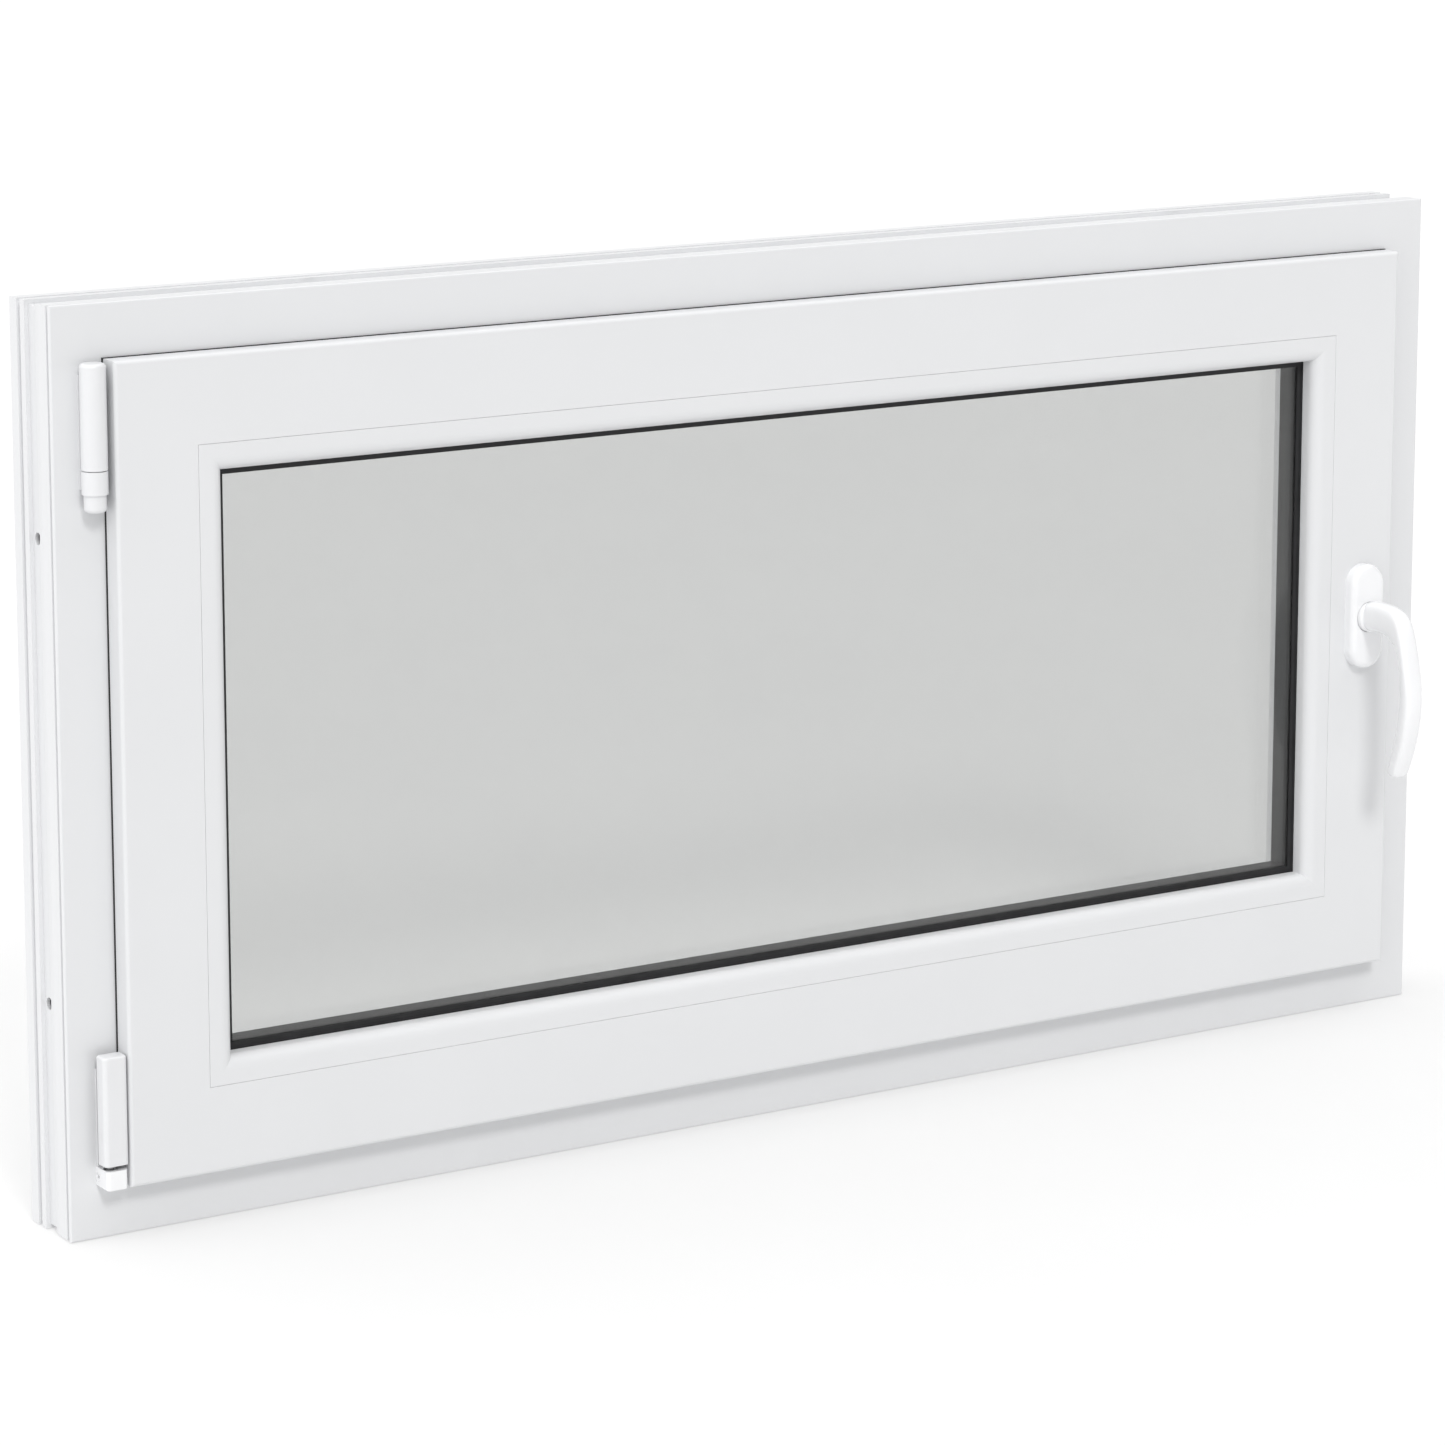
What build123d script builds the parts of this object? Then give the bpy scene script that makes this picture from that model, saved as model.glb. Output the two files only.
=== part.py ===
from build123d import *
import math
import os

# ---------------------------------------------------------------------------
# Tilt-and-turn casement window, 1100 x 600 mm, opening into the room.
# X runs along the sill, Y from the room towards the outside, Z is up.
# The origin is the bottom centre of the outer frame's room-side face.
# A section point is (u, v): u inwards from the outer frame's edge, v along Y.
# ---------------------------------------------------------------------------
W, H, T = 1100.0, 600.0, 58.0        # outer frame: width, height, depth
XL, XR = -W / 2, W / 2
FACE = 43.0                          # frame's face width, and its rebate wall
LEG = 63.0                           # tip of the frame's outer stop leg
LEG_V = 43.0                         # front of the stop leg
SASH_U = 35.07                       # sash's visible outer edge
SASH_F = -17.24                      # sash's front face
LIP_V = -1.5                         # back of the sash's overlap
EDGE_U = 55.0                        # sash's hidden edge, 12 mm from the frame
SASH_B = 40.2                        # sash's outer face
REB_U = 92.0                         # floor of the glazing rebate
NOSE_U = 110.2                       # glazing bead's nose
GLASS_U = 96.0                       # edge of the glass unit
PANE, CAVITY = 4.0, 16.0             # 4-16-4 insulating glass
PANE_V = -1.0                        # room face of the inner pane
HX, HY = XL + 24.0, -9.5             # vertical hinge axis
TILT_Z = 40.0                        # height of the tilt axis
HANDLE_X, HANDLE_Z = XR - 63.5, 300.0
HANDLE_U = XR - HANDLE_X
PITCH_R, TEETH, MODULE = 7.0, 14, 1.0
STROKE = PITCH_R * math.pi           # rod travel over half a turn of the handle
HARD_V = 11.5                        # centre line of the hardware groove
STAY_L = 260.0                       # stay's slider pin, from the hinge axis

os.makedirs("parts", exist_ok=True)

SIDES = {
    "sill": (Plane(origin=(XR, 0, 0), x_dir=(0, 0, 1), z_dir=(-1, 0, 0)), W,
             (((XL, 0, 0), (1, 0, -1)), ((XR, 0, 0), (-1, 0, -1)))),
    "head": (Plane(origin=(XL, 0, H), x_dir=(0, 0, -1), z_dir=(1, 0, 0)), W,
             (((XL, 0, H), (1, 0, 1)), ((XR, 0, H), (-1, 0, 1)))),
    "hinge": (Plane(origin=(XL, 0, 0), x_dir=(1, 0, 0), z_dir=(0, 0, 1)), H,
              (((XL, 0, 0), (-1, 0, 1)), ((XL, 0, H), (-1, 0, -1)))),
    "lock": (Plane(origin=(XR, 0, H), x_dir=(-1, 0, 0), z_dir=(0, 0, -1)), H,
             (((XR, 0, 0), (1, 0, 1)), ((XR, 0, H), (1, 0, -1)))),
}


def save(part, label):
    part.label = label
    export_step(part, f"parts/{label}.step")


def at(side, u, v, s):
    """Point at depth u, v and distance s along a member (X, or Z on a jamb)."""
    return {"sill": (s, v, u), "head": (s, v, H - u),
            "hinge": (XL + u, v, s), "lock": (XR - u, v, s)}[side]


def span(side, u0, u1, v0, v1, s0, s1, mode=Mode.ADD):
    """Rectangular block between two depths, two levels and two stations."""
    a, b = at(side, u0, v0, s0), at(side, u1, v1, s1)
    with Locations(tuple((p + q) / 2 for p, q in zip(a, b))):
        Box(*(abs(p - q) for p, q in zip(a, b)), mode=mode)


def block(x0, x1, y0, y1, z0, z1, mode=Mode.ADD):
    with Locations(((x0 + x1) / 2, (y0 + y1) / 2, (z0 + z1) / 2)):
        Box(x1 - x0, y1 - y0, z1 - z0, mode=mode)


def rod_y(x, z, y0, y1, r, mode=Mode.ADD):
    with Locations(Location((x, (y0 + y1) / 2, z), (90, 0, 0))):
        Cylinder(r, y1 - y0, mode=mode)


def rod_z(x, y, z0, z1, r, mode=Mode.ADD):
    with Locations((x, y, (z0 + z1) / 2)):
        Cylinder(r, z1 - z0, mode=mode)


def rod_x(x0, x1, y, z, r, mode=Mode.ADD):
    with Locations(Location(((x0 + x1) / 2, y, z), (0, 90, 0))):
        Cylinder(r, x1 - x0, mode=mode)


def rod_u(side, u0, u1, v, s, r, mode=Mode.ADD):
    """Cylinder square to a member's edge, between depths u0 and u1."""
    a, b = at(side, u0, v, s), at(side, u1, v, s)
    mid = tuple((p + q) / 2 for p, q in zip(a, b))
    turn = (0, 90, 0) if side in ("hinge", "lock") else (0, 0, 0)
    with Locations(Location(mid, turn)):
        Cylinder(r, abs(u1 - u0), mode=mode)


def outline(points, mode=Mode.ADD):
    """Closed section from (u, v, corner radius) points."""
    with BuildLine() as edge:
        FilletPolyline(*[(p[0], p[1]) for p in points],
                       radius=[p[2] if len(p) > 2 else 0 for p in points], close=True)
    make_face(edge.edges(), mode=mode)


def chamber(u0, u1, v0, v1):
    with Locations(((u0 + u1) / 2, (v0 + v1) / 2)):
        Rectangle(u1 - u0, v1 - v0, mode=Mode.SUBTRACT)


def mitre(side):
    for origin, normal in SIDES[side][2]:
        split(bisect_by=Plane(origin=origin, z_dir=normal), keep=Keep.TOP)


def ring(u0, u1, v0, v1, mode=Mode.ADD):
    """Rectangular ring, from depth u0 to u1 on all four sides."""
    with BuildSketch(Plane.XZ.offset(-v1)) as loop:
        with Locations((0, H / 2)):
            Rectangle(W - 2 * u0, H - 2 * u0)
            Rectangle(W - 2 * u1, H - 2 * u1, mode=Mode.SUBTRACT)
    extrude(loop.sketch, amount=v1 - v0, mode=mode)


# ---------------------------------------------------------------------------
# Outer frame: four mitred hollow three-chamber members
# ---------------------------------------------------------------------------
FRAME = [(0, 0, 1.2), (FACE, 0, 0.8), (FACE, LEG_V), (57, LEG_V), (57, LEG_V + 2.5),
         (59, LEG_V + 2.5), (59, LEG_V), (LEG, LEG_V, 0.8), (LEG, T, 1.0), (0, T, 1.0),
         (0, 47), (2, 47), (2, 42), (0, 42), (0, 36), (3, 36), (3, 24), (1.5, 24),
         (0.4, 17.4), (0.4, 6), (2, 6), (2, 2.5), (0, 2.5)]
FRAME_CHAMBERS = [(4.5, 40, 3, 14), (5.5, 40, 15.5, 40), (4.5, 40, 41.8, 55.2),
                  (42.2, 60.3, 47.5, 55.2)]
FIX_V = 30.0                          # frame fixing holes, in the outer groove
JAMB_FIX = (150.0, 450.0)
HEAD_FIX = (-350.0, 350.0)
STRIKERS = {"lock": (161.0, 451.0), "head": (-11.0, 369.0), "sill": (-289.0, 311.0)}
STRIKER_HALF = 30.0
PEGS = {"stay": (488.0, 540.0), "corner": (41.5, 100.0)}
DRAINS = (-300.0, 300.0)
STRIKE_SCREW_V = 14.6

for side, name in (("head", "frame_head"), ("sill", "frame_sill"),
                   ("hinge", "frame_jamb_hinge_side"), ("lock", "frame_jamb_lock_side")):
    plane, length, _ = SIDES[side]
    with BuildPart() as member:
        with BuildSketch(plane):
            outline(FRAME)
            for c in FRAME_CHAMBERS:
                chamber(*c)
        extrude(amount=length)
        mitre(side)
        for s in {"hinge": JAMB_FIX, "lock": JAMB_FIX, "head": HEAD_FIX}.get(side, ()):
            rod_u(side, -1, 44, FIX_V, s, 4.0, Mode.SUBTRACT)
        for s in STRIKERS.get(side, ()):
            for d in (-22, 22):
                rod_u(side, 39, 44, STRIKE_SCREW_V - 2.6, s + d, 2.0, Mode.SUBTRACT)
        if side == "hinge":
            for z in PEGS["stay"] + PEGS["corner"]:
                rod_y(HX, z, -1, 3.5, 3.05, Mode.SUBTRACT)
        if side == "sill":
            for x in DRAINS:
                block(x - 14, x + 14, 54, 59, 8, 13, Mode.SUBTRACT)
                block(x - 54, x - 26, 44, 46.5, 44.5, 45.5, Mode.SUBTRACT)
    save(member.part, name)

# Galvanised box sections inside the main chambers
with BuildPart() as steel:
    for side, s0, s1 in (("sill", -490, 490), ("head", -490, 490),
                         ("hinge", 60, 540), ("lock", 60, 540)):
        span(side, 7, 38.5, 17, 38.5, s0, s1)
        span(side, 8.5, 37, 18.5, 37, s0 - 1, s1 + 1, Mode.SUBTRACT)
        for s in {"hinge": JAMB_FIX, "lock": JAMB_FIX, "head": HEAD_FIX}.get(side, ()):
            rod_u(side, 5, 42, FIX_V, s, 4.0, Mode.SUBTRACT)
save(steel.part, "frame_reinforcement")

# Black seal on the frame's stop leg, rooted in its groove
with BuildPart() as stop_gasket:
    ring(54.5, 61.5, 40.6, LEG_V)
    ring(57, 59, LEG_V, LEG_V + 2.5)
save(stop_gasket.part, "frame_stop_gasket")

# Caps over the sill's drain slots, outside
with BuildPart() as caps:
    for x in DRAINS:
        with BuildSketch(Plane.XZ.offset(-T)):
            with Locations((x, 11)):
                RectangleRounded(38, 14, 2.5)
        extrude(amount=-3.5)
        block(x - 12, x + 12, T - 0.1, T + 2.2, 5.5, 13, Mode.SUBTRACT)
        block(x - 12, x + 12, T, T + 4, 3.5, 6.5, Mode.SUBTRACT)
save(caps.part, "drain_caps")

# Keeper plates on the rebate wall, with a lip on the room side
with BuildPart() as strikers:
    for side, stations in STRIKERS.items():
        for s in stations:
            span(side, FACE, 45.5, 3.4, 20, s - STRIKER_HALF, s + STRIKER_HALF)
            span(side, FACE, 47.2, 3.4, 6.4, s - STRIKER_HALF + 6, s + STRIKER_HALF - 6)
            for d in (-22, 22):
                rod_u(side, 42, 46, STRIKE_SCREW_V - 2.6, s + d, 2.1, Mode.SUBTRACT)
save(strikers.part, "striker_plates")

with BuildPart() as striker_screws:
    for side, stations in STRIKERS.items():
        for s in stations:
            for d in (-22, 22):
                rod_u(side, 30, 45.5, STRIKE_SCREW_V - 2.6, s + d, 1.95)
                rod_u(side, 45.5, 46.6, STRIKE_SCREW_V - 2.6, s + d, 3.2)
save(striker_screws.part, "striker_screws")

# Stay bearing: steel barrel standing on the hinge jamb, with pegs into it
with BuildPart() as stay_bearing:
    rod_z(HX, HY, 472, 499, 6.0)
    block(HX - 4.5, HX + 4.5, HY, 0, 484, 497)
    block(HX - 6, HX + 6, -0.8, 0, 484, 556)
    for z in PEGS["stay"]:
        rod_y(HX, z, -0.4, 12, 3.0)
    rod_z(HX, HY, 471, 500, 3.0, Mode.SUBTRACT)
save(stay_bearing.part, "stay_bearing")

with BuildPart() as hinge_pin:
    rod_z(HX, HY, 472, 560, 3.0)
    chamfer(hinge_pin.edges().filter_by(GeomType.CIRCLE), 0.5)
save(hinge_pin.part, "top_hinge_pin")

with BuildPart() as bearing_cover:
    rod_z(HX, HY, 482, 496.7, 8.4)
    rod_z(HX, HY, 470.5, 482.2, 7.2)
    fillet(bearing_cover.edges().group_by(Axis.Z)[0], 3.0)
    rod_z(HX, HY, 472, 497, 6.0, Mode.SUBTRACT)
    block(HX - 4.6, HX + 4.6, HY, 0, 484, 497, Mode.SUBTRACT)
save(bearing_cover.part, "stay_bearing_cover")

# Corner bearing at the bottom: the block that carries the sash
with BuildPart() as corner_bearing:
    block(XL + 18.5, HX + 10.75, -17.2, 0, 35, 48)
    # nose turned about the hinge axis, so the sash's edge swings clear of it
    with BuildSketch(Plane.XY.offset(35)):
        with Locations((HX + 6, HY - 6)):
            Rectangle(12, 12)
        with Locations((HX, HY)):
            Circle(10.75, mode=Mode.SUBTRACT)
    extrude(amount=13, mode=Mode.SUBTRACT)
    fillet(corner_bearing.edges().filter_by(Axis.Z).group_by(Axis.X)[0].sort_by(Axis.Y)[0], 2.5)
    chamfer(corner_bearing.edges().group_by(Axis.Z)[0], 0.8)
    block(XL + 19.5, XL + 33, -1.2, 0, 48, 112)
    for z in PEGS["corner"]:
        rod_y(HX, z, -0.6, 12, 3.0)
    rod_z(HX, HY, 35.7, 49, 4.46, Mode.SUBTRACT)
    rod_x(XL + 18, XL + 28, -3.2, 41.5, 1.65, Mode.SUBTRACT)
    rod_x(XL + 18, XL + 19.5, -3.2, 41.5, 2.95, Mode.SUBTRACT)
save(corner_bearing.part, "corner_bearing")

with BuildPart() as adjust_screw:
    rod_x(XL + 19.5, XL + 27.9, -3.2, 41.5, 1.6)
    rod_x(XL + 18.8, XL + 19.5, -3.2, 41.5, 2.85)
    with BuildSketch(Plane(origin=(XL + 18.8, -3.2, 41.5), z_dir=(-1, 0, 0))):
        RegularPolygon(1.4, 6)
    extrude(amount=-2.0, mode=Mode.SUBTRACT)
save(adjust_screw.part, "bearing_adjusting_screw")

# ---------------------------------------------------------------------------
# Swivel in the corner bearing: turns with the sash, lets it tilt in its fork
# ---------------------------------------------------------------------------
with BuildPart() as bush:
    rod_z(HX, HY, 35.8, 46.5, 4.4)
    block(HX - 2.35, HX + 2.35, HY - 5, HY + 5, 36.6, 47, Mode.SUBTRACT)
    rod_x(HX - 5, HX + 5, HY, TILT_Z, 1.2, Mode.SUBTRACT)
save(bush.part, "pivot_fork")

with BuildPart() as tilt_pin:
    rod_x(HX - 4.2, HX + 4.2, HY, TILT_Z, 1.2)
save(tilt_pin.part, "tilt_pin")

# ---------------------------------------------------------------------------
# Stay: arm on the top hinge pin, whose slider runs in the sash's guide rail
# ---------------------------------------------------------------------------
PIN_X = HX + STAY_L
with BuildPart() as stay_arm:
    rod_z(HX, HY, 500, 559, 6.2)
    block(HX, HX + 29, -4.2, -1.7, 546, 556)
    block(HX + 20.5, HX + 29, -4.2, 18, 549, 552)
    block(HX + 20.5, HX + 23, -4.2, 5, 546, 556)
    block(HX + 20.5, PIN_X + 7, 5, 18, 549, 552)
    rod_z(HX, HY, 499, 560, 3.05, Mode.SUBTRACT)
    rod_z(PIN_X, HARD_V, 548, 553, 2.5, Mode.SUBTRACT)
save(stay_arm.part, "stay_arm")

with BuildPart() as slider:
    rod_z(PIN_X, HARD_V, 541.8, 552, 2.5)
    rod_z(PIN_X, HARD_V, 552, 553.2, 4.0)
save(slider.part, "stay_slider_pin")

with BuildPart() as stay_cover:
    rod_z(HX, HY, 497.3, 564, 8.4)
    fillet(stay_cover.edges().group_by(Axis.Z)[-1], 2.5)
    rod_z(HX, HY, 497, 562.4, 6.2, Mode.SUBTRACT)
    block(HX, HX + 9, -4.3, -1, 497, 557, Mode.SUBTRACT)
    block(HX - 9, HX + 9, -1.8, -0.5, 490, 570, Mode.SUBTRACT)
save(stay_cover.part, "top_hinge_cover")

# ---------------------------------------------------------------------------
# Sash: four mitred hollow members with a hardware groove in their hidden edge
# ---------------------------------------------------------------------------
SASH = [(SASH_U, SASH_F, 2.5), (REB_U, SASH_F, 0.3), (REB_U, -9.3), (89.2, -9.3), (89.2, -6.2),
        (REB_U, -6.2), (REB_U, 25), (110, 25, 0.6), (110, 27, 0.8), (103.8, SASH_B, 0.8),
        (EDGE_U, SASH_B, 1.0), (EDGE_U, 17), (59, 17), (59, 6), (EDGE_U, 6), (EDGE_U, LIP_V),
        (42.4, LIP_V), (42.4, -3.9), (40, -3.9), (40, LIP_V), (SASH_U, LIP_V, 0.4)]
SASH_CHAMBERS = [(37.8, 53.5, -14.4, -7), (56, 86.5, -14.4, -3.5), (57.8, 89.2, -1.8, 1.0),
                 (61.5, 89.2, 2.7, 23), (57.6, 89.2, 24.7, 37.5), (REB_U, 102.3, 27.8, 37)]
PLATE_SCREWS = {"lock": (90.0, 220.0, 380.0, 510.0), "head": (-470.0, -240.0, -100.0, 180.0, 440.0),
                "sill": (-440.0, -100.0, 180.0, 470.0), "hinge": (150.0, 172.0)}
HANDLE_SCREWS = (HANDLE_Z - 21.5, HANDLE_Z + 21.5)

for side, name in (("head", "sash_top_rail"), ("sill", "sash_bottom_rail"),
                   ("hinge", "sash_hinge_stile"), ("lock", "sash_lock_stile")):
    plane, length, _ = SIDES[side]
    with BuildPart() as member:
        with BuildSketch(plane):
            outline(SASH)
            for c in SASH_CHAMBERS:
                chamber(*c)
        extrude(amount=length)
        mitre(side)
        for s in PLATE_SCREWS[side]:
            rod_u(side, 58, 62, HARD_V, s, 1.95, Mode.SUBTRACT)
        if side in ("head", "hinge"):
            # pocket behind the overlap for the stay's strap
            block(XL + 34, XL + 56, -4.6, LIP_V + 0.1, 543, 559, Mode.SUBTRACT)
        if side == "hinge":
            # pocket for the corner band's strap
            block(XL + 34, XL + EDGE_U, -4.2, LIP_V, 60, 112, Mode.SUBTRACT)
        if side == "lock":
            # pocket for the gearbox, and holes for the spindle and its screws
            block(XR - 76, XR - 54, 4.7, 18.3, 256, 344, Mode.SUBTRACT)
            rod_y(HANDLE_X, HANDLE_Z, SASH_F - 1, 5, 6.5, Mode.SUBTRACT)
            for z in HANDLE_SCREWS:
                rod_y(HANDLE_X, z, SASH_F - 1, 5, 2.6, Mode.SUBTRACT)
    save(member.part, name)

# Galvanised channels in the sash, open towards the hardware groove
with BuildPart() as sash_steel:
    for side, s0, s1 in (("sill", -440, 440), ("head", -440, 440),
                         ("hinge", 110, 490), ("lock", 110, 490)):
        span(side, 77, 88.7, 3, 22.7, s0, s1)
        span(side, 70, 87.2, 4.5, 21.2, s0 - 1, s1 + 1, Mode.SUBTRACT)
save(sash_steel.part, "sash_reinforcement")

with BuildPart() as lip_gasket:
    ring(40, 42.4, -3.9, LIP_V)
    ring(39, 43, LIP_V, -0.4)
    ring(35.6, 39.2, LIP_V, -0.75)
    # lip that shows as a dark line round the sash's top and sides
    span("head", 34.6, 39.2, LIP_V, -0.3, XL + 34.6, XR - 34.6)
    span("hinge", 34.6, 39.2, LIP_V, -0.3, 113, H - 34.6)
    span("lock", 34.6, 39.2, LIP_V, -0.3, 60, H - 34.6)
    # cut away where the straps cross
    block(XL + 34, XL + 56, -5, 0, 542, 560, Mode.SUBTRACT)
    block(XL + 34, XL + 56, -5, 0, 59, 113, Mode.SUBTRACT)
save(lip_gasket.part, "sash_overlap_gasket")

# Glazing beads, mitred, each clipped into the sash by its foot
BEAD = [(92.15, SASH_F, 0.3), (110.0, SASH_F, 8.6), (NOSE_U, -2.25, 0.5), (92.15, -2.25),
        (92.15, -6.4), (89.4, -6.4), (89.4, -9.1), (92.15, -9.1)]
for side, name in (("head", "glazing_bead_top"), ("sill", "glazing_bead_bottom"),
                   ("hinge", "glazing_bead_left"), ("lock", "glazing_bead_right")):
    plane, length, _ = SIDES[side]
    with BuildPart() as bead:
        with BuildSketch(plane):
            outline(BEAD)
            chamber(94.2, 104.5, -14.8, -4.4)
        extrude(amount=length)
        mitre(side)
    save(bead.part, name)

# Insulating glass: two panes, spacer bar and edge sealant
for name, v0 in (("glass_pane_inner", PANE_V), ("glass_pane_outer", PANE_V + PANE + CAVITY)):
    with BuildPart() as pane:
        block(XL + GLASS_U, XR - GLASS_U, v0, v0 + PANE, GLASS_U, H - GLASS_U)
        chamfer(pane.edges().filter_by(Axis.Y), 0.6)
    save(pane.part, name)

with BuildPart() as spacer:
    ring(108.7, 114.8, PANE_V + PANE, PANE_V + PANE + CAVITY)
save(spacer.part, "glass_spacer_bar")

with BuildPart() as sealant:
    ring(97, 108.7, PANE_V + PANE, PANE_V + PANE + CAVITY)
save(sealant.part, "glass_edge_seal")

with BuildPart() as gasket_in:
    ring(103, 111.4, -2.25, PANE_V)
    ring(111.2, 114.8, -1.85, PANE_V)
save(gasket_in.part, "glazing_gasket_inner")

with BuildPart() as gasket_out:
    ring(103, 111.5, PANE_V + 2 * PANE + CAVITY, 25)
save(gasket_out.part, "glazing_gasket_outer")

with BuildPart() as setting:
    for side, stations in (("sill", (-350, 350)), ("head", (-350, 350)),
                           ("hinge", (180,)), ("lock", (430,))):
        for s in stations:
            span(side, REB_U, GLASS_U, PANE_V, 23, s - 45, s + 45)
save(setting.part, "setting_blocks")

# ---------------------------------------------------------------------------
# Hardware in the sash's edge
# ---------------------------------------------------------------------------
def plate(side, s0, s1, cams=(), forward=1):
    """2 mm steel faceplate on the sash's edge, slotted where a cam travels."""
    span(side, 53, EDGE_U, 2.5, 20.5, s0, s1)
    for c in cams:
        a, b = sorted((c, c + forward * STROKE))
        span(side, 52, 56, HARD_V - 2.9, HARD_V + 2.9, a - 3, b + 3, Mode.SUBTRACT)
    for s in PLATE_SCREWS[side]:
        if s0 < s < s1:
            rod_u(side, 52, 56, HARD_V, s, 2.0, Mode.SUBTRACT)


LOCK_CAMS, TOP_CAMS, BOTTOM_CAMS = (150.0, 440.0), (0.0, 380.0), (-300.0, 300.0)
with BuildPart() as plate_lock:
    plate("lock", 64, 536, LOCK_CAMS, 1)
save(plate_lock.part, "faceplate_lock_side")
with BuildPart() as plate_top:
    plate("head", -210, 486, TOP_CAMS, -1)
save(plate_top.part, "faceplate_top")
with BuildPart() as plate_bottom:
    plate("sill", -480, 486, BOTTOM_CAMS, 1)
save(plate_bottom.part, "faceplate_bottom")

# Guide rail that the stay's slider pin runs in
with BuildPart() as rail:
    span("head", 53, EDGE_U, 2.5, 20.5, HX + 33, -212)
    block(PIN_X - 10.5, PIN_X + 4, HARD_V - 4.2, HARD_V + 4.2, 544, 548, Mode.SUBTRACT)
    for s in PLATE_SCREWS["head"][:2]:
        rod_u("head", 52, 56, HARD_V, s, 2.0, Mode.SUBTRACT)
save(rail.part, "stay_guide_rail")

# Corner guides that carry the drive round the two lock-side corners
with BuildPart() as corner_guides:
    for z, d in ((541.0, -1), (59.0, 1)):
        z0, z1 = sorted((z, z + d * 28))
        block(XR - 59, XR - 55.2, 6.2, 16.8, z0, z1)
        block(XR - 76, XR - 55.2, 6.2, 16.8, *sorted((z, z - d * 3.8)))
save(corner_guides.part, "corner_drive_guides")

with BuildPart() as plate_screws:
    for side, stations in PLATE_SCREWS.items():
        for s in stations:
            if side == "lock" and s in (220.0, 380.0):
                rod_u(side, 52.6, 55.2, HARD_V, s, 1.9)
                rod_u(side, 51.9, 53, HARD_V, s, 3.0)
                continue
            rod_u(side, 53, 74, HARD_V, s, 1.9)
            rod_u(side, 51.9, 53, HARD_V, s, 3.0)
save(plate_screws.part, "faceplate_screws")

# Gearbox case around the pinion, screwed up from the room side
with BuildPart() as gearbox:
    block(XR - 75.8, XR - 55.0, 4.8, 18.2, 256.5, 343.5)
    block(XR - 74.5, XR - 54, 6.2, 16.8, 258, 342, Mode.SUBTRACT)
    block(XR - 59, XR - 54, 6.2, 16.8, 250, 350, Mode.SUBTRACT)
    for z in HANDLE_SCREWS:
        rod_y(HANDLE_X, z, 5, 8.1, 4.0)
        rod_y(HANDLE_X, z, 4, 9, 2.45, Mode.SUBTRACT)
    rod_y(HANDLE_X, HANDLE_Z, 4, 19, 6.06, Mode.SUBTRACT)
save(gearbox.part, "gearbox_case")

# Corner band: joins the sash to the pin that stands in the corner bearing
with BuildPart() as band:
    rod_z(HX, HY, 54, 120, 3.6)
    rod_z(HX, HY, 49.2, 54, 3.6)
    rod_z(HX, HY, 37.7, 54, 2.2)
    block(HX - 2, HX + 8, -7, -1.7, 60, 112)
    block(HX, XL + 47, -4.2, -1.7, 60, 112)
    block(XL + 44.5, XL + 47, -4.2, 2.5, 60, 112)
    block(XL + 44.5, XL + EDGE_U, 0, 2.5, 60, 112)
    block(XL + 53, XL + EDGE_U, 0, 20.5, 60, 180)
    rod_x(HX - 5, HX + 5, HY, TILT_Z, 1.26, Mode.SUBTRACT)
    for s in PLATE_SCREWS["hinge"]:
        rod_u("hinge", 52, 56, HARD_V, s, 2.0, Mode.SUBTRACT)
save(band.part, "corner_band")

with BuildPart() as cap:
    block(XL + 17.4, XL + 34.1, -17.2, -6.8, 51.2, 122.6)
    fillet(cap.edges().filter_by(Axis.Z).group_by(Axis.Y)[0], 3.2)
    fillet(cap.edges().group_by(Axis.Z)[-1].sort_by(Axis.Y)[:-1], 1.6)
    block(XL + 18.8, XL + 32.8, -15.6, -6, 50, 121, Mode.SUBTRACT)
    for z in (68, 104):
        block(HX - 1, HX + 1, -16, -13.1, z, z + 4)      # ribs that grip the barrel
save(cap.part, "corner_hinge_cover")

# ---------------------------------------------------------------------------
# Handle: rosette on the sash, lever and spindle, pinion and drive rods
# ---------------------------------------------------------------------------
ROSE_W, ROSE_H = 30.0, 77.0
ROSE_Y = SASH_F - 9.8
with BuildPart() as rose_base:
    with BuildSketch(Plane.XZ.offset(-SASH_F)):
        with Locations((HANDLE_X, HANDLE_Z)):
            SlotOverall(ROSE_H - 5, ROSE_W - 5, rotation=90)
            Circle(11.0, mode=Mode.SUBTRACT)
    extrude(amount=3.5)
    for z in HANDLE_SCREWS:
        rod_y(HANDLE_X, z, SASH_F - 5, SASH_F + 1, 2.6, Mode.SUBTRACT)
save(rose_base.part, "rosette_base")

with BuildPart() as rose_cover:
    with BuildSketch(Plane.XZ.offset(-SASH_F)):
        with Locations((HANDLE_X, HANDLE_Z)):
            SlotOverall(ROSE_H, ROSE_W, rotation=90)
    extrude(amount=9.8)
    fillet(rose_cover.faces().sort_by(Axis.Y)[0].edges(), 4.5)
    with BuildSketch(Plane.XZ.offset(-SASH_F)):
        with Locations((HANDLE_X, HANDLE_Z)):
            SlotOverall(ROSE_H - 5, ROSE_W - 5, rotation=90)
    extrude(amount=7.6, mode=Mode.SUBTRACT)
    rod_y(HANDLE_X, HANDLE_Z, ROSE_Y - 1, SASH_F, 11.25, Mode.SUBTRACT)
save(rose_cover.part, "rosette_cover")

with BuildPart() as rose_screws:
    for z in HANDLE_SCREWS:
        rod_y(HANDLE_X, z, SASH_F - 3.5, 8.0, 2.4)
        rod_y(HANDLE_X, z, SASH_F - 6.2, SASH_F - 3.5, 4.2)
save(rose_screws.part, "handle_screws")

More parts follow.
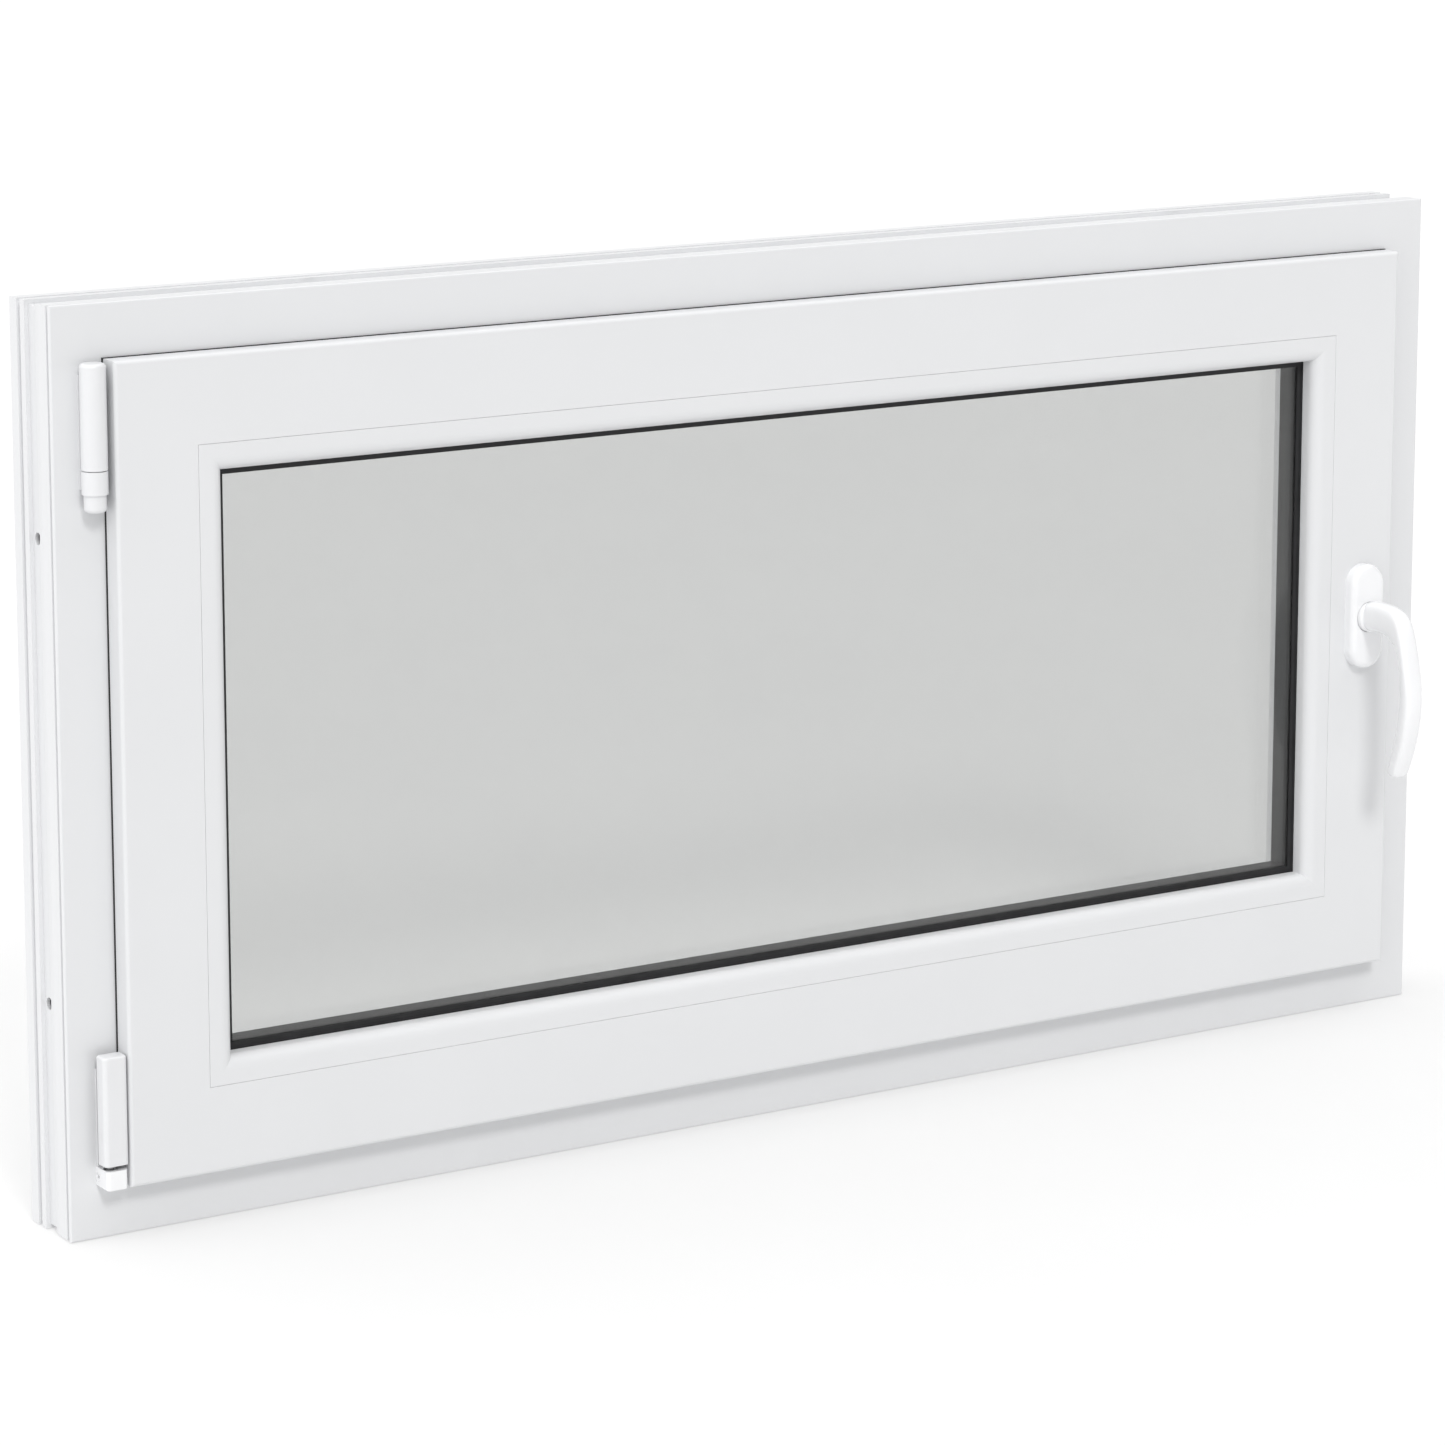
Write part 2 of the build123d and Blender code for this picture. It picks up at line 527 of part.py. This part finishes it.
# Lever: neck out of the rosette, then a bowed grip hanging down from it
NECK_Y0 = SASH_F - 1.0
LEVER = [(-27.3, 312.6), (-70.5, 312.6, 15), (-84.5, 245, 75), (-67, 187, 5), (-56.5, 187, 4.5),
         (-70.5, 246, 75), (-68, 291, 13), (-27.3, 290.5)]
with BuildPart() as lever:
    with BuildSketch(Plane(origin=(HANDLE_X, 0, 0), x_dir=(0, 1, 0), z_dir=(1, 0, 0))):
        outline(LEVER)
    extrude(amount=8.0, both=True)
    long_edges = lever.edges().filter_by(
        lambda e: abs(abs(e.center().X - HANDLE_X) - 8.0) < 1e-3 and e.center().Y < -27.4)
    fillet(long_edges, 4.2)
    rod_y(HANDLE_X, HANDLE_Z, -30.5, NECK_Y0, 11.0)
    with BuildSketch(Plane.XZ.offset(-NECK_Y0)):
        with Locations((HANDLE_X, HANDLE_Z)):
            Rectangle(7.1, 7.1)
    extrude(amount=22, mode=Mode.SUBTRACT)
save(lever.part, "handle_lever")

with BuildPart() as spindle:
    block(HANDLE_X - 3.5, HANDLE_X + 3.5, NECK_Y0 - 20, 18, HANDLE_Z - 3.5, HANDLE_Z + 3.5)
    chamfer(spindle.edges().filter_by(Axis.Y), 0.4)
save(spindle.part, "handle_spindle")


def involute(rb, r):
    """Polar angle of an involute from base radius rb, where it reaches r."""
    t = math.sqrt(max((r / rb) ** 2 - 1, 0))
    return t - math.atan(t)


# Pinion: 14 teeth, one centred on the rack's side at rest
PRESSURE = math.radians(20)
RB, RA, RF = PITCH_R * math.cos(PRESSURE), PITCH_R + 0.85, PITCH_R - 0.95
HALF = math.pi / 2 / TEETH - 0.010       # half a tooth's angle at the pitch circle
profile = []
for k in range(TEETH):
    mid = math.pi + 2 * math.pi * k / TEETH
    flank = []
    for i in range(7):
        r = RB + (RA - RB) * i / 6
        flank.append((r, HALF + involute(RB, PITCH_R) - involute(RB, r)))
    profile.append((RF, mid - flank[0][1]))
    profile += [(r, mid - a) for r, a in flank]
    profile += [(r, mid + a) for r, a in reversed(flank)]
    profile.append((RF, mid + flank[0][1]))
with BuildPart() as pinion:
    with BuildSketch(Plane.XZ.offset(-14.5)):
        with BuildLine():
            Polyline(*[(HANDLE_X + r * math.cos(a), HANDLE_Z + r * math.sin(a))
                       for r, a in profile], close=True)
        make_face()
    extrude(amount=6.0)
    rod_y(HANDLE_X, HANDLE_Z, 5.2, 18.0, 5.98)
    with BuildSketch(Plane.XZ.offset(-19)):
        with Locations((HANDLE_X, HANDLE_Z)):
            Rectangle(7.04, 7.04)
    extrude(amount=16, mode=Mode.SUBTRACT)
save(pinion.part, "gearbox_pinion")

# Lock-side rod with its rack carriage around the pinion
RACK_X = HANDLE_X - PITCH_R                   # rack's pitch line
with BuildPart() as lock_rod:
    span("lock", 55.3, 57.2, 6.5, 16.5, 92, 485)
    block(XR - 58, XR - 55, 8.1, 14.9, 267.5, 311, Mode.SUBTRACT)
    for z0 in (262, 311):
        block(RACK_X - 3.4, XR - 56.5, 8.6, 14.4, z0, z0 + 5)
    block(RACK_X - 3.4, RACK_X - 1.15, 8.6, 14.4, 262, 316)
    pitch = math.pi * MODULE
    half, add, ded = pitch / 4 - 0.07, 0.65, 1.2
    tan = math.tan(PRESSURE)
    with BuildSketch(Plane.XZ.offset(-14.4)):
        for k in range(-8, 1):
            c = HANDLE_Z + (k + 0.5) * pitch
            with BuildLine():
                Polyline((RACK_X - ded, c - half - ded * tan), (RACK_X + add, c - half + add * tan),
                         (RACK_X + add, c + half - add * tan), (RACK_X - ded, c + half + ded * tan),
                         close=True)
            make_face()
    extrude(amount=5.8)
    for z in (220.0, 380.0):
        block(XR - 58, XR - 55, HARD_V - 2.4, HARD_V + 2.4, z - 24.6, z + 2.6, Mode.SUBTRACT)
save(lock_rod.part, "lock_rod")

with BuildPart() as top_rod:
    span("head", 55.3, 57.2, 6.5, 16.5, -186, 440)
    for s in PLATE_SCREWS["head"][2:]:
        span("head", 55, 58, HARD_V - 2.4, HARD_V + 2.4, s - 2.6, s + 24.6, Mode.SUBTRACT)
save(top_rod.part, "top_rod")

with BuildPart() as bottom_rod:
    span("sill", 55.3, 57.2, 6.5, 16.5, -470, 438)
    for s in PLATE_SCREWS["sill"][:3]:
        span("sill", 55, 58, HARD_V - 2.4, HARD_V + 2.4, s - 24.6, s + 2.6, Mode.SUBTRACT)
save(bottom_rod.part, "bottom_rod")

for name, side, stations in (("lock_rod_cams", "lock", LOCK_CAMS), ("top_rod_cams", "head", TOP_CAMS),
                             ("bottom_rod_cams", "sill", BOTTOM_CAMS)):
    with BuildPart() as cams:
        for s in stations:
            rod_u(side, 52.4, 55.3, HARD_V, s, 2.5)
            rod_u(side, 48, 52.6, HARD_V, s, 3.8)
    save(cams.part, name)
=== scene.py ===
import bpy, bmesh, math
from mathutils import Vector, Matrix


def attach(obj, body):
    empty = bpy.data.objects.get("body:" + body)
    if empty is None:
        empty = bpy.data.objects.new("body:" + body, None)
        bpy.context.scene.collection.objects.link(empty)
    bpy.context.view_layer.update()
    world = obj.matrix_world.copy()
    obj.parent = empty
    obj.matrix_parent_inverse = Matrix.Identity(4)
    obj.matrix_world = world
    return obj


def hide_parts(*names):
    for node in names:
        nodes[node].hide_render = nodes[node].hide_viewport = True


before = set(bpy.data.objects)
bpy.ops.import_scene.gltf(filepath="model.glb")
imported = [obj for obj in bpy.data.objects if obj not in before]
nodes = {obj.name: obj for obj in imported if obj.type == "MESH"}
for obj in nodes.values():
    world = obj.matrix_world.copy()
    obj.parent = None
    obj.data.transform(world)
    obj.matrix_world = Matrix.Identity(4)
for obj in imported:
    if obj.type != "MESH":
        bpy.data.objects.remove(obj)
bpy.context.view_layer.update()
scene = bpy.context.scene
MM = 0.001

# ---------------------------------------------------------------------------
# Node helpers
# ---------------------------------------------------------------------------
def new_mat(name):
    m = bpy.data.materials.new(name)
    m.use_nodes = True
    nt = m.node_tree
    nt.nodes.clear()
    out = nt.nodes.new("ShaderNodeOutputMaterial")
    b = nt.nodes.new("ShaderNodeBsdfPrincipled")
    nt.links.new(b.outputs["BSDF"], out.inputs["Surface"])
    return m, nt, b


def coords(nt, scale=(1, 1, 1)):
    tc = nt.nodes.new("ShaderNodeTexCoord")
    mp = nt.nodes.new("ShaderNodeMapping")
    mp.inputs["Scale"].default_value = scale
    nt.links.new(tc.outputs["Object"], mp.inputs["Vector"])
    return mp.outputs["Vector"]


def noise(nt, vec, scale, detail=4.0, rough=0.55):
    n = nt.nodes.new("ShaderNodeTexNoise")
    n.inputs["Scale"].default_value = scale
    n.inputs["Detail"].default_value = detail
    n.inputs["Roughness"].default_value = rough
    nt.links.new(vec, n.inputs["Vector"])
    return n.outputs["Fac"]


def spread(nt, fac, lo, hi, a=0.35, b=0.65):
    """Noise stretched to the range lo to hi."""
    r = nt.nodes.new("ShaderNodeMapRange")
    r.inputs["From Min"].default_value, r.inputs["From Max"].default_value = a, b
    r.inputs["To Min"].default_value, r.inputs["To Max"].default_value = lo, hi
    nt.links.new(fac, r.inputs["Value"])
    return r.outputs["Result"]


def two(nt, fac, c0, c1):
    r = nt.nodes.new("ShaderNodeValToRGB")
    r.color_ramp.elements[0].position, r.color_ramp.elements[1].position = 0.3, 0.7
    r.color_ramp.elements[0].color = (*c0, 1)
    r.color_ramp.elements[1].color = (*c1, 1)
    nt.links.new(fac, r.inputs["Fac"])
    return r.outputs["Color"]


def bump(nt, height, strength, distance, under=None):
    b = nt.nodes.new("ShaderNodeBump")
    b.inputs["Strength"].default_value = strength
    b.inputs["Distance"].default_value = distance
    nt.links.new(height, b.inputs["Height"])
    if under is not None:
        nt.links.new(under, b.inputs["Normal"])
    return b.outputs["Normal"]


# ---------------------------------------------------------------------------
# Materials
# ---------------------------------------------------------------------------
def pvc(name, along, tone=0.728):
    """Extruded white PVC: die lines along the bar, fine orange peel, faint handling marks."""
    m, nt, b = new_mat(name)
    lines = {"x": (3, 900, 900), "z": (900, 900, 3)}[along]
    streak = noise(nt, coords(nt, lines), 1.0, 3.0)
    peel = noise(nt, coords(nt), 1400.0, 2.0)
    haze = noise(nt, coords(nt), 9.0, 5.0)
    c0 = (tone - 0.010, tone - 0.004, tone + 0.008)
    c1 = (tone + 0.004, tone + 0.010, tone + 0.022)
    nt.links.new(two(nt, haze, c0, c1), b.inputs["Base Color"])
    nt.links.new(spread(nt, haze, 0.30, 0.40), b.inputs["Roughness"])
    n1 = bump(nt, streak, 0.06, 0.00012)
    nt.links.new(bump(nt, peel, 0.05, 0.00008, n1), b.inputs["Normal"])
    b.inputs["Specular IOR Level"].default_value = 0.42
    b.inputs["IOR"].default_value = 1.53
    b.inputs["Subsurface Weight"].default_value = 0.0
    b.inputs["Coat Weight"].default_value = 0.06
    b.inputs["Coat Roughness"].default_value = 0.22
    return m


def moulded(name, tone=0.87, rough=(0.26, 0.36), grain=2200.0, coat=0.12):
    """Moulded nylon or powder coat: fine even grain, slightly glossier than the bars."""
    m, nt, b = new_mat(name)
    fine = noise(nt, coords(nt), grain, 2.0)
    soft = noise(nt, coords(nt), 60.0, 4.0)
    nt.links.new(two(nt, soft, (tone - 0.010, tone - 0.005, tone + 0.008),
                     (tone + 0.004, tone + 0.009, tone + 0.022)), b.inputs["Base Color"])
    nt.links.new(spread(nt, soft, *rough), b.inputs["Roughness"])
    nt.links.new(bump(nt, fine, 0.05, 0.00003), b.inputs["Normal"])
    b.inputs["Specular IOR Level"].default_value = 0.5
    b.inputs["Coat Weight"].default_value = coat
    b.inputs["Coat Roughness"].default_value = 0.15
    return m


def metal(name, c0, c1, rough, stretch=(1, 1, 1), scale=300.0, height=0.00004):
    m, nt, b = new_mat(name)
    grain = noise(nt, coords(nt, stretch), scale, 5.0)
    patch = noise(nt, coords(nt), 25.0, 4.0)
    nt.links.new(two(nt, patch, c0, c1), b.inputs["Base Color"])
    nt.links.new(spread(nt, grain, *rough), b.inputs["Roughness"])
    nt.links.new(bump(nt, grain, 0.25, height), b.inputs["Normal"])
    b.inputs["Metallic"].default_value = 1.0
    return m


def galvanised(name):
    m, nt, b = new_mat(name)
    v = nt.nodes.new("ShaderNodeTexVoronoi")
    v.inputs["Scale"].default_value = 120.0
    nt.links.new(coords(nt), v.inputs["Vector"])
    nt.links.new(two(nt, v.outputs["Distance"], (0.42, 0.43, 0.44), (0.62, 0.63, 0.64)), b.inputs["Base Color"])
    nt.links.new(spread(nt, v.outputs["Distance"], 0.32, 0.55, 0.0, 1.0), b.inputs["Roughness"])
    nt.links.new(bump(nt, v.outputs["Distance"], 0.1, 0.00005), b.inputs["Normal"])
    b.inputs["Metallic"].default_value = 1.0
    return m


def rubber(name, tone=0.016, rough=(0.45, 0.62)):
    """Extruded black seal: faint bloom, fine grain."""
    m, nt, b = new_mat(name)
    bloom = noise(nt, coords(nt), 70.0, 5.0)
    fine = noise(nt, coords(nt), 1800.0, 3.0)
    nt.links.new(two(nt, bloom, (tone * 0.8, tone * 0.8, tone * 0.85), (tone * 1.5, tone * 1.5, tone * 1.6)),
                 b.inputs["Base Color"])
    nt.links.new(spread(nt, bloom, *rough), b.inputs["Roughness"])
    nt.links.new(bump(nt, fine, 0.2, 0.0001), b.inputs["Normal"])
    b.inputs["Specular IOR Level"].default_value = 0.3
    return m


def spacer_bar(name):
    """Warm-edge spacer: dark grey, satin, with its fine row of vent pricks along the bar."""
    m, nt, b = new_mat(name)
    fine = noise(nt, coords(nt), 900.0, 3.0)
    vents = nt.nodes.new("ShaderNodeTexVoronoi")
    vents.inputs["Scale"].default_value = 260.0
    vents.inputs["Randomness"].default_value = 0.0
    nt.links.new(coords(nt), vents.inputs["Vector"])
    nt.links.new(two(nt, fine, (0.004, 0.0044, 0.0044), (0.008, 0.0084, 0.0084)), b.inputs["Base Color"])
    nt.links.new(spread(nt, fine, 0.38, 0.50), b.inputs["Roughness"])
    n1 = bump(nt, fine, 0.12, 0.00008)
    nt.links.new(bump(nt, vents.outputs["Distance"], 0.10, 0.0001, n1), b.inputs["Normal"])
    return m


def glass(name, tint):
    """Float glass: very slight waviness, neutral grey tint, a trace of dust."""
    m, nt, b = new_mat(name)
    wave = noise(nt, coords(nt, (1, 1, 1)), 2.2, 1.0)
    dust = noise(nt, coords(nt), 30.0, 6.0)
    nt.links.new(two(nt, dust, (tint, tint * 1.006, tint * 1.002), (tint + 0.004, tint * 1.006 + 0.004, tint + 0.004)),
                 b.inputs["Base Color"])
    nt.links.new(spread(nt, dust, 0.0, 0.012), b.inputs["Roughness"])
    nt.links.new(bump(nt, wave, 0.02, 0.0004), b.inputs["Normal"])
    b.inputs["Transmission Weight"].default_value = 1.0
    b.inputs["IOR"].default_value = 1.5
    b.inputs["Specular IOR Level"].default_value = 0.12
    return m


PVC_X, PVC_Z = pvc("pvc_bar_x", "x"), pvc("pvc_bar_z", "z")
CAPS = moulded("moulded_cap", 0.745, (0.28, 0.34), 2600.0, 0.10)
PAINT = moulded("powder_coat", 0.865, (0.20, 0.26), 1800.0, 0.30)
ZINC = metal("zinc_plate", (0.52, 0.53, 0.52), (0.68, 0.69, 0.68), (0.26, 0.42), (1, 1, 1))
CAST = metal("die_cast", (0.42, 0.42, 0.43), (0.52, 0.52, 0.53), (0.38, 0.55), scale=800.0)
GALV = galvanised("galvanised")
EPDM = rubber("epdm_black")
SEAL = rubber("edge_seal", 0.014, (0.55, 0.7))
SPACER = spacer_bar("spacer_bar")
GLASS_IN, GLASS_OUT = glass("glass_inner", 0.752), glass("glass_outer", 0.752)


def packer(name):
    m, nt, b = new_mat(name)
    f = noise(nt, coords(nt), 500.0, 3.0)
    nt.links.new(two(nt, f, (0.03, 0.10, 0.26), (0.04, 0.13, 0.32)), b.inputs["Base Color"])
    nt.links.new(spread(nt, f, 0.4, 0.55), b.inputs["Roughness"])
    nt.links.new(bump(nt, f, 0.15, 0.0001), b.inputs["Normal"])
    return m


BLOCK = packer("packer")
LOOK = {
    "frame_head": PVC_X, "frame_sill": PVC_X, "frame_jamb_hinge_side": PVC_Z, "frame_jamb_lock_side": PVC_Z,
    "sash_top_rail": PVC_X, "sash_bottom_rail": PVC_X, "sash_hinge_stile": PVC_Z, "sash_lock_stile": PVC_Z,
    "glazing_bead_top": PVC_X, "glazing_bead_bottom": PVC_X, "glazing_bead_left": PVC_Z, "glazing_bead_right": PVC_Z,
    "frame_reinforcement": GALV, "sash_reinforcement": GALV,
    "frame_stop_gasket": EPDM, "sash_overlap_gasket": EPDM, "glazing_gasket_inner": EPDM, "glazing_gasket_outer": EPDM,
    "glass_edge_seal": SEAL, "glass_spacer_bar": SPACER, "glass_pane_inner": GLASS_IN, "glass_pane_outer": GLASS_OUT,
    "setting_blocks": BLOCK, "drain_caps": CAPS, "stay_bearing_cover": CAPS, "top_hinge_cover": CAPS,
    "corner_hinge_cover": CAPS, "rosette_base": CAPS, "rosette_cover": PAINT, "handle_lever": PAINT,
    "corner_bearing": PAINT, "stay_bearing": PAINT, "bearing_adjusting_screw": PAINT, "corner_band": CAST, "gearbox_case": CAST,
    "gearbox_pinion": CAST, "corner_drive_guides": CAST,
}
for name, o in nodes.items():
    o.data.materials.clear()
    o.data.materials.append(LOOK.get(name, ZINC))
for name in ("glass_pane_inner", "glass_pane_outer"):
    nodes[name].visible_shadow = False

# ---------------------------------------------------------------------------
# Handle lever: lofted, soft-cornered bow, with its round collar
# ---------------------------------------------------------------------------
HX, HZ = 486.5, 300.0
STATIONS = [  # outer (y, z), inner (y, z), half width, squareness
    ((-27.5, 312.2), (-27.5, 289.9), 8.8, 2.6), ((-34.0, 312.5), (-34.0, 290.4), 8.5, 2.8),
    ((-42.0, 312.5), (-41.5, 291.0), 8.2, 3.2), ((-50.5, 311.9), (-48.5, 290.8), 8.0, 3.4),
    ((-58.8, 310.0), (-54.8, 289.2), 8.0, 3.5), ((-65.2, 306.4), (-60.2, 286.0), 8.0, 3.5),
    ((-69.3, 299.5), (-64.4, 280.6), 8.0, 3.0), ((-72.9, 289.0), (-67.2, 273.6), 8.0, 3.0),
    ((-77.0, 273.5), (-69.0, 263.8), 8.05, 3.0), ((-80.2, 258.6), (-69.5, 253.6), 8.1, 3.0),
    ((-81.7, 244.0), (-69.2, 242.8), 8.1, 3.0), ((-80.2, 228.6), (-67.4, 229.6), 8.05, 3.0),
    ((-76.8, 213.4), (-64.3, 215.6), 7.9, 3.0), ((-72.8, 201.3), (-60.9, 204.2), 7.7, 3.0),
    ((-69.9, 194.2), (-58.2, 196.6), 7.6, 3.0), ((-68.0, 189.8), (-57.2, 191.4), 7.3, 3.0),
]


def ring_points(outer, inner, half, power, n=28):
    o, i = Vector((HX, *outer)), Vector((HX, *inner))
    c, d = (o + i) / 2, (o - i) / 2
    pts = []
    for k in range(n):
        t = 2 * math.pi * k / n
        ct, st = math.cos(t), math.sin(t)
        u = math.copysign(abs(ct) ** (2 / power), ct)
        v = math.copysign(abs(st) ** (2 / power), st)
        pts.append((c + d * u + Vector((half * v, 0, 0))) * MM)
    return pts


def loft(name, rings, close_ends=True):
    bm = bmesh.new()
    rows = [[bm.verts.new(p) for p in r] for r in rings]
    for a, b in zip(rows, rows[1:]):
        for k in range(len(a)):
            bm.faces.new((a[k], a[(k + 1) % len(a)], b[(k + 1) % len(a)], b[k]))
    if close_ends:
        for row in (rows[0], rows[-1]):
            c = bm.verts.new(sum((v.co for v in row), Vector()) / len(row))
            for k in range(len(row)):
                bm.faces.new((row[k], row[(k + 1) % len(row)], c))
    bmesh.ops.recalc_face_normals(bm, faces=bm.faces)
    me = bpy.data.meshes.new(name)
    bm.to_mesh(me)
    bm.free()
    me.shade_smooth()
    o = bpy.data.objects.new(name, me)
    scene.collection.objects.link(o)
    return o


def subdivide(o, levels=1):
    s = o.modifiers.new("smooth", "SUBSURF")
    s.levels = s.render_levels = levels
    return o


tip = [((-66.9, 188.3), (-57.9, 189.3), 6.6, 3.0), ((-65.6, 187.4), (-59.2, 188.1), 5.0, 2.8)]
lever = loft("lever_grip", [ring_points(*s) for s in STATIONS + tip])
subdivide(lever)


def lathe_y(name, cx, cz, profile, n=56, close=True):
    """Turned shape about an axis along Y: profile is (radius, y) in millimetres."""
    rings = [[Vector((cx + r * math.cos(2 * math.pi * k / n), y, cz + r * math.sin(2 * math.pi * k / n))) * MM
              for k in range(n)] for r, y in profile]
    return loft(name, rings, close)


collar = lathe_y("lever_collar", HX, HZ, [(10.9, -18.4), (10.9, -28.9), (10.7, -29.6), (10.2, -30.1), (9.3, -30.4), (7.0, -30.5)])
for piece in (lever, collar):
    piece.data.materials.append(PAINT)
    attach(piece, "handle")
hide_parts("handle_lever")

# ---------------------------------------------------------------------------
# Soft rounded lip of the inner glazing seal on the hinge side
# ---------------------------------------------------------------------------
LIP_X0, LIP_X1, LIP_Z0, LIP_Z1, PANE_Y = -436.2, -433.5, 114.0, 486.0, -1.02


def lip_ring(z):
    pts, n = [], 18
    half, mid = (LIP_X1 - LIP_X0) / 2, (LIP_X1 + LIP_X0) / 2
    for k in range(n + 1):
        t = math.pi * k / n
        pts.append(Vector((mid - half * math.cos(t), PANE_Y - 0.9 * math.sin(t) ** 0.8, z)) * MM)
    pts += [Vector((mid + half * f, PANE_Y, z)) * MM for f in (0.5, 0.0, -0.5)]
    return pts


lip = loft("hinge_side_glazing_lip", [lip_ring(LIP_Z0 + (LIP_Z1 - LIP_Z0) * k / 24) for k in range(25)])
lip.data.materials.append(EPDM)
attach(lip, "sash")

# ---------------------------------------------------------------------------
# Stage, light and camera
# ---------------------------------------------------------------------------
bpy.ops.mesh.primitive_plane_add(size=60, location=(0, 0, -0.0005))
floor = bpy.context.object
floor.name = "stage_floor"
m, nt, b = new_mat("floor_paper")
f = noise(nt, coords(nt), 3.0, 3.0)
nt.links.new(two(nt, f, (0.45, 0.45, 0.45), (0.46, 0.46, 0.46)), b.inputs["Base Color"])
b.inputs["Roughness"].default_value = 0.9
b.inputs["Emission Color"].default_value = (1, 1, 1, 1)
b.inputs["Emission Strength"].default_value = 0.42
b.inputs["Specular IOR Level"].default_value = 0.1
floor.data.materials.append(m)

w = bpy.data.worlds.new("studio")
scene.world = w
w.use_nodes = True
nt = w.node_tree
nt.nodes.clear()
out = nt.nodes.new("ShaderNodeOutputWorld")
bg = nt.nodes.new("ShaderNodeBackground")
tc = nt.nodes.new("ShaderNodeTexCoord")
sep = nt.nodes.new("ShaderNodeSeparateXYZ")
nt.links.new(tc.outputs["Generated"], sep.inputs["Vector"])


def term(socket, gain, power=1.0, flip=False):
    """gain * max(+-direction, 0) ** power"""
    r = nt.nodes.new("ShaderNodeMapRange")
    r.inputs["From Min"].default_value, r.inputs["From Max"].default_value = (0, -1) if flip else (0, 1)
    nt.links.new(socket, r.inputs["Value"])
    p = nt.nodes.new("ShaderNodeMath")
    p.operation = "POWER"
    nt.links.new(r.outputs["Result"], p.inputs[0])
    p.inputs[1].default_value = power
    g = nt.nodes.new("ShaderNodeMath")
    g.operation = "MULTIPLY"
    nt.links.new(p.outputs[0], g.inputs[0])
    g.inputs[1].default_value = gain
    return g.outputs[0]


def add(a, c):
    n = nt.nodes.new("ShaderNodeMath")
    n.operation = "ADD"
    nt.links.new(a, n.inputs[0])
    if isinstance(c, float):
        n.inputs[1].default_value = c
    else:
        nt.links.new(c, n.inputs[1])
    return n.outputs[0]


overhead = term(sep.outputs["Z"], 1.75, 4.0)
behind = term(sep.outputs["Y"], 0.42)
left = term(sep.outputs["X"], 0.92, 1.0, True)
# pale band low down, so that a low view meets no hard horizon
low = nt.nodes.new("ShaderNodeMapRange")
low.inputs["From Min"].default_value, low.inputs["From Max"].default_value = 1, 0
nt.links.new(sep.outputs["Z"], low.inputs["Value"])
band = term(low.outputs["Result"], 0.42, 26.0)
nt.links.new(add(add(add(add(overhead, behind), left), band), 0.29), bg.inputs["Strength"])
bg.inputs["Color"].default_value = (1, 1, 1, 1)
nt.links.new(bg.outputs["Background"], out.inputs["Surface"])

sun = bpy.data.lights.new("key", "SUN")
sun.energy = 1.0
sun.angle = math.radians(14)
sun.color = (1.0, 0.995, 0.985)
key = bpy.data.objects.new("key", sun)
key.rotation_mode = "QUATERNION"
key.rotation_quaternion = Vector((0.28, 1.0, -0.88)).to_track_quat("-Z", "Y")
scene.collection.objects.link(key)

cam = bpy.data.cameras.new("camera")
cam.sensor_fit = "HORIZONTAL"
cam.sensor_width = 36.0
cam.lens = 126.4
cam.shift_y = -0.12
cam.clip_start, cam.clip_end = 0.1, 200
camera = bpy.data.objects.new("camera", cam)
az, el = math.radians(32.845), math.radians(10.312)
look = Vector((math.sin(az) * math.cos(el), math.cos(az) * math.cos(el), -math.sin(el)))
camera.location = Vector((-1329.33 - 550.0, -2822.11, 1010.95)) * MM
camera.rotation_mode = "QUATERNION"
camera.rotation_quaternion = look.to_track_quat("-Z", "Y")
scene.collection.objects.link(camera)
scene.camera = camera
scene.view_settings.view_transform = "Standard"
scene.view_settings.look = "None"
